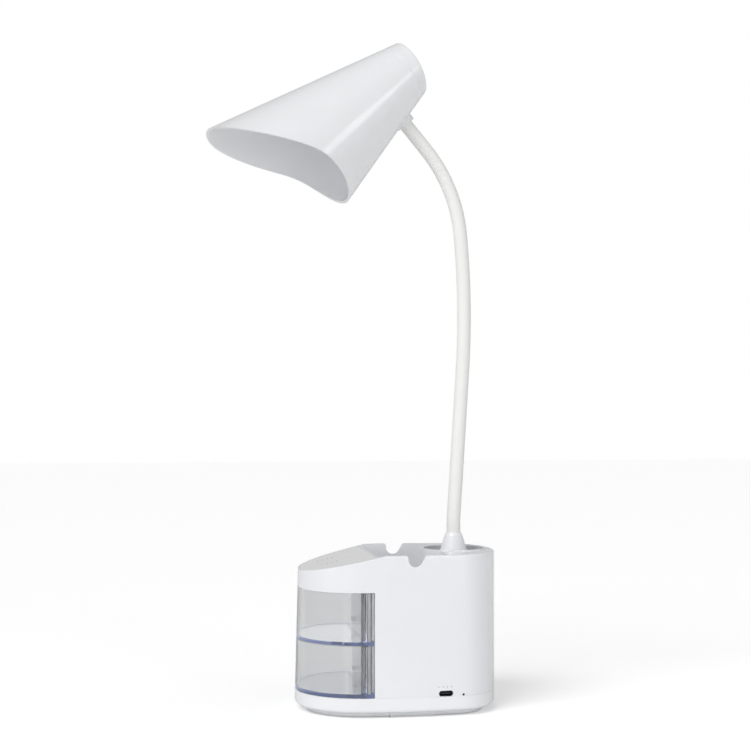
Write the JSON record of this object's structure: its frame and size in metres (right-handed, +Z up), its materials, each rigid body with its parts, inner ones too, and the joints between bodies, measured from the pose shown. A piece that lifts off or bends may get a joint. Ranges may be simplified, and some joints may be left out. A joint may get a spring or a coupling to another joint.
{
  "type": "desk lamp with drawer base",
  "caption": "Rechargeable desk lamp with a scooped conical shade on a gooseneck, rising from a storage base with swivel-out clear drawers, a pen cup and phone notches.",
  "frame": {"origin": "centre of the base on the table, on the underside of the non-slip pad", "axes": "+Z up, -Y towards the drawers and the mouth of the shade, +X towards the side with the charging socket"},
  "size_m": [0.1054, 0.1906, 0.4472],
  "materials": {
    "white_plastic": "glossy injection-moulded shell",
    "roof_grey": "smooth light grey inset",
    "clear_plastic": "clear injection-moulded plastic",
    "neck_white": "matte warm white sleeve",
    "steel": "plain steel",
    "pad_rubber": "soft light grey pad",
    "dark_plastic": "black plastic",
    "board_green": "green circuit board",
    "board_white": "white circuit board",
    "cell_wrap": "shrink sleeve on the cell",
    "heat_sink": "plain sheet",
    "led_yellow": "light-emitting chip",
    "diffuser_milk": "milky diffuser"
  },
  "bodies": {
    "base": {"body_shell": "white_plastic", "base_tray": "white_plastic", "plinth": "white_plastic", "non_slip_pad": "pad_rubber", "side_feet": "pad_rubber", "ballast_plate": "steel", "case_screws": "steel", "main_board": "board_green", "usb_socket": "steel", "charge_light": "dark_plastic", "battery_cradle": "white_plastic", "battery_cell": "cell_wrap", "touch_panel": "roof_grey", "touch_board": "board_green", "drawer_pin": "steel", "arm_collar": "neck_white", "arm_nut": "steel", "neck_root": "neck_white"},
    "lower_drawer": {"lower_drawer": "clear_plastic", "lower_catch": "dark_plastic"},
    "upper_drawer": {"upper_drawer": "clear_plastic", "upper_catch": "dark_plastic"},
    "neck_1": {"neck_link_1": "neck_white"},
    "neck_2": {"neck_link_2": "neck_white"},
    "neck_3": {"neck_link_3": "neck_white"},
    "neck_4": {"neck_link_4": "neck_white"},
    "head": {"neck_link_5": "neck_white", "shade": "white_plastic", "rear_cap": "white_plastic", "led_carrier": "heat_sink", "led_board": "board_white", "led_chips": "led_yellow", "diffuser": "diffuser_milk", "head_nut": "steel"}
  },
  "joints": [
    {"name": "lower_drawer_swing", "type": "hinge", "parent": "base", "child": "lower_drawer", "pos_m": [0.04156, -0.0236, 0.0298], "axis": [0, 0, 1], "range_deg": [0, 90]},
    {"name": "upper_drawer_swing", "type": "hinge", "parent": "base", "child": "upper_drawer", "pos_m": [0.04156, -0.0236, 0.0635], "axis": [0, 0, 1], "range_deg": [0, 90]},
    {"name": "neck_sway", "type": "hinge", "parent": "base", "child": "neck_1", "pos_m": [0, 0.0401, 0.124], "axis": [0, 1, 0], "range_deg": [-22, 22]},
    {"name": "neck_bend_1", "type": "hinge", "parent": "neck_1", "child": "neck_2", "pos_m": [-0.00295, 0.0428, 0.15776], "axis": [0.9962, 0, 0.0872], "range_deg": [-20, 20]},
    {"name": "neck_bend_2", "type": "hinge", "parent": "neck_2", "child": "neck_3", "pos_m": [-0.00869, 0.04805, 0.2233], "axis": [0.9962, 0, 0.0872], "range_deg": [-20, 20]},
    {"name": "neck_bend_3", "type": "hinge", "parent": "neck_3", "child": "neck_4", "pos_m": [-0.01461, 0.04959, 0.29099], "axis": [0.9962, 0, 0.0872], "range_deg": [-20, 20]},
    {"name": "neck_bend_4", "type": "hinge", "parent": "neck_4", "child": "head", "pos_m": [-0.01974, 0.04013, 0.34961], "axis": [0.9962, 0, 0.0872], "range_deg": [-20, 20]}
  ]
}
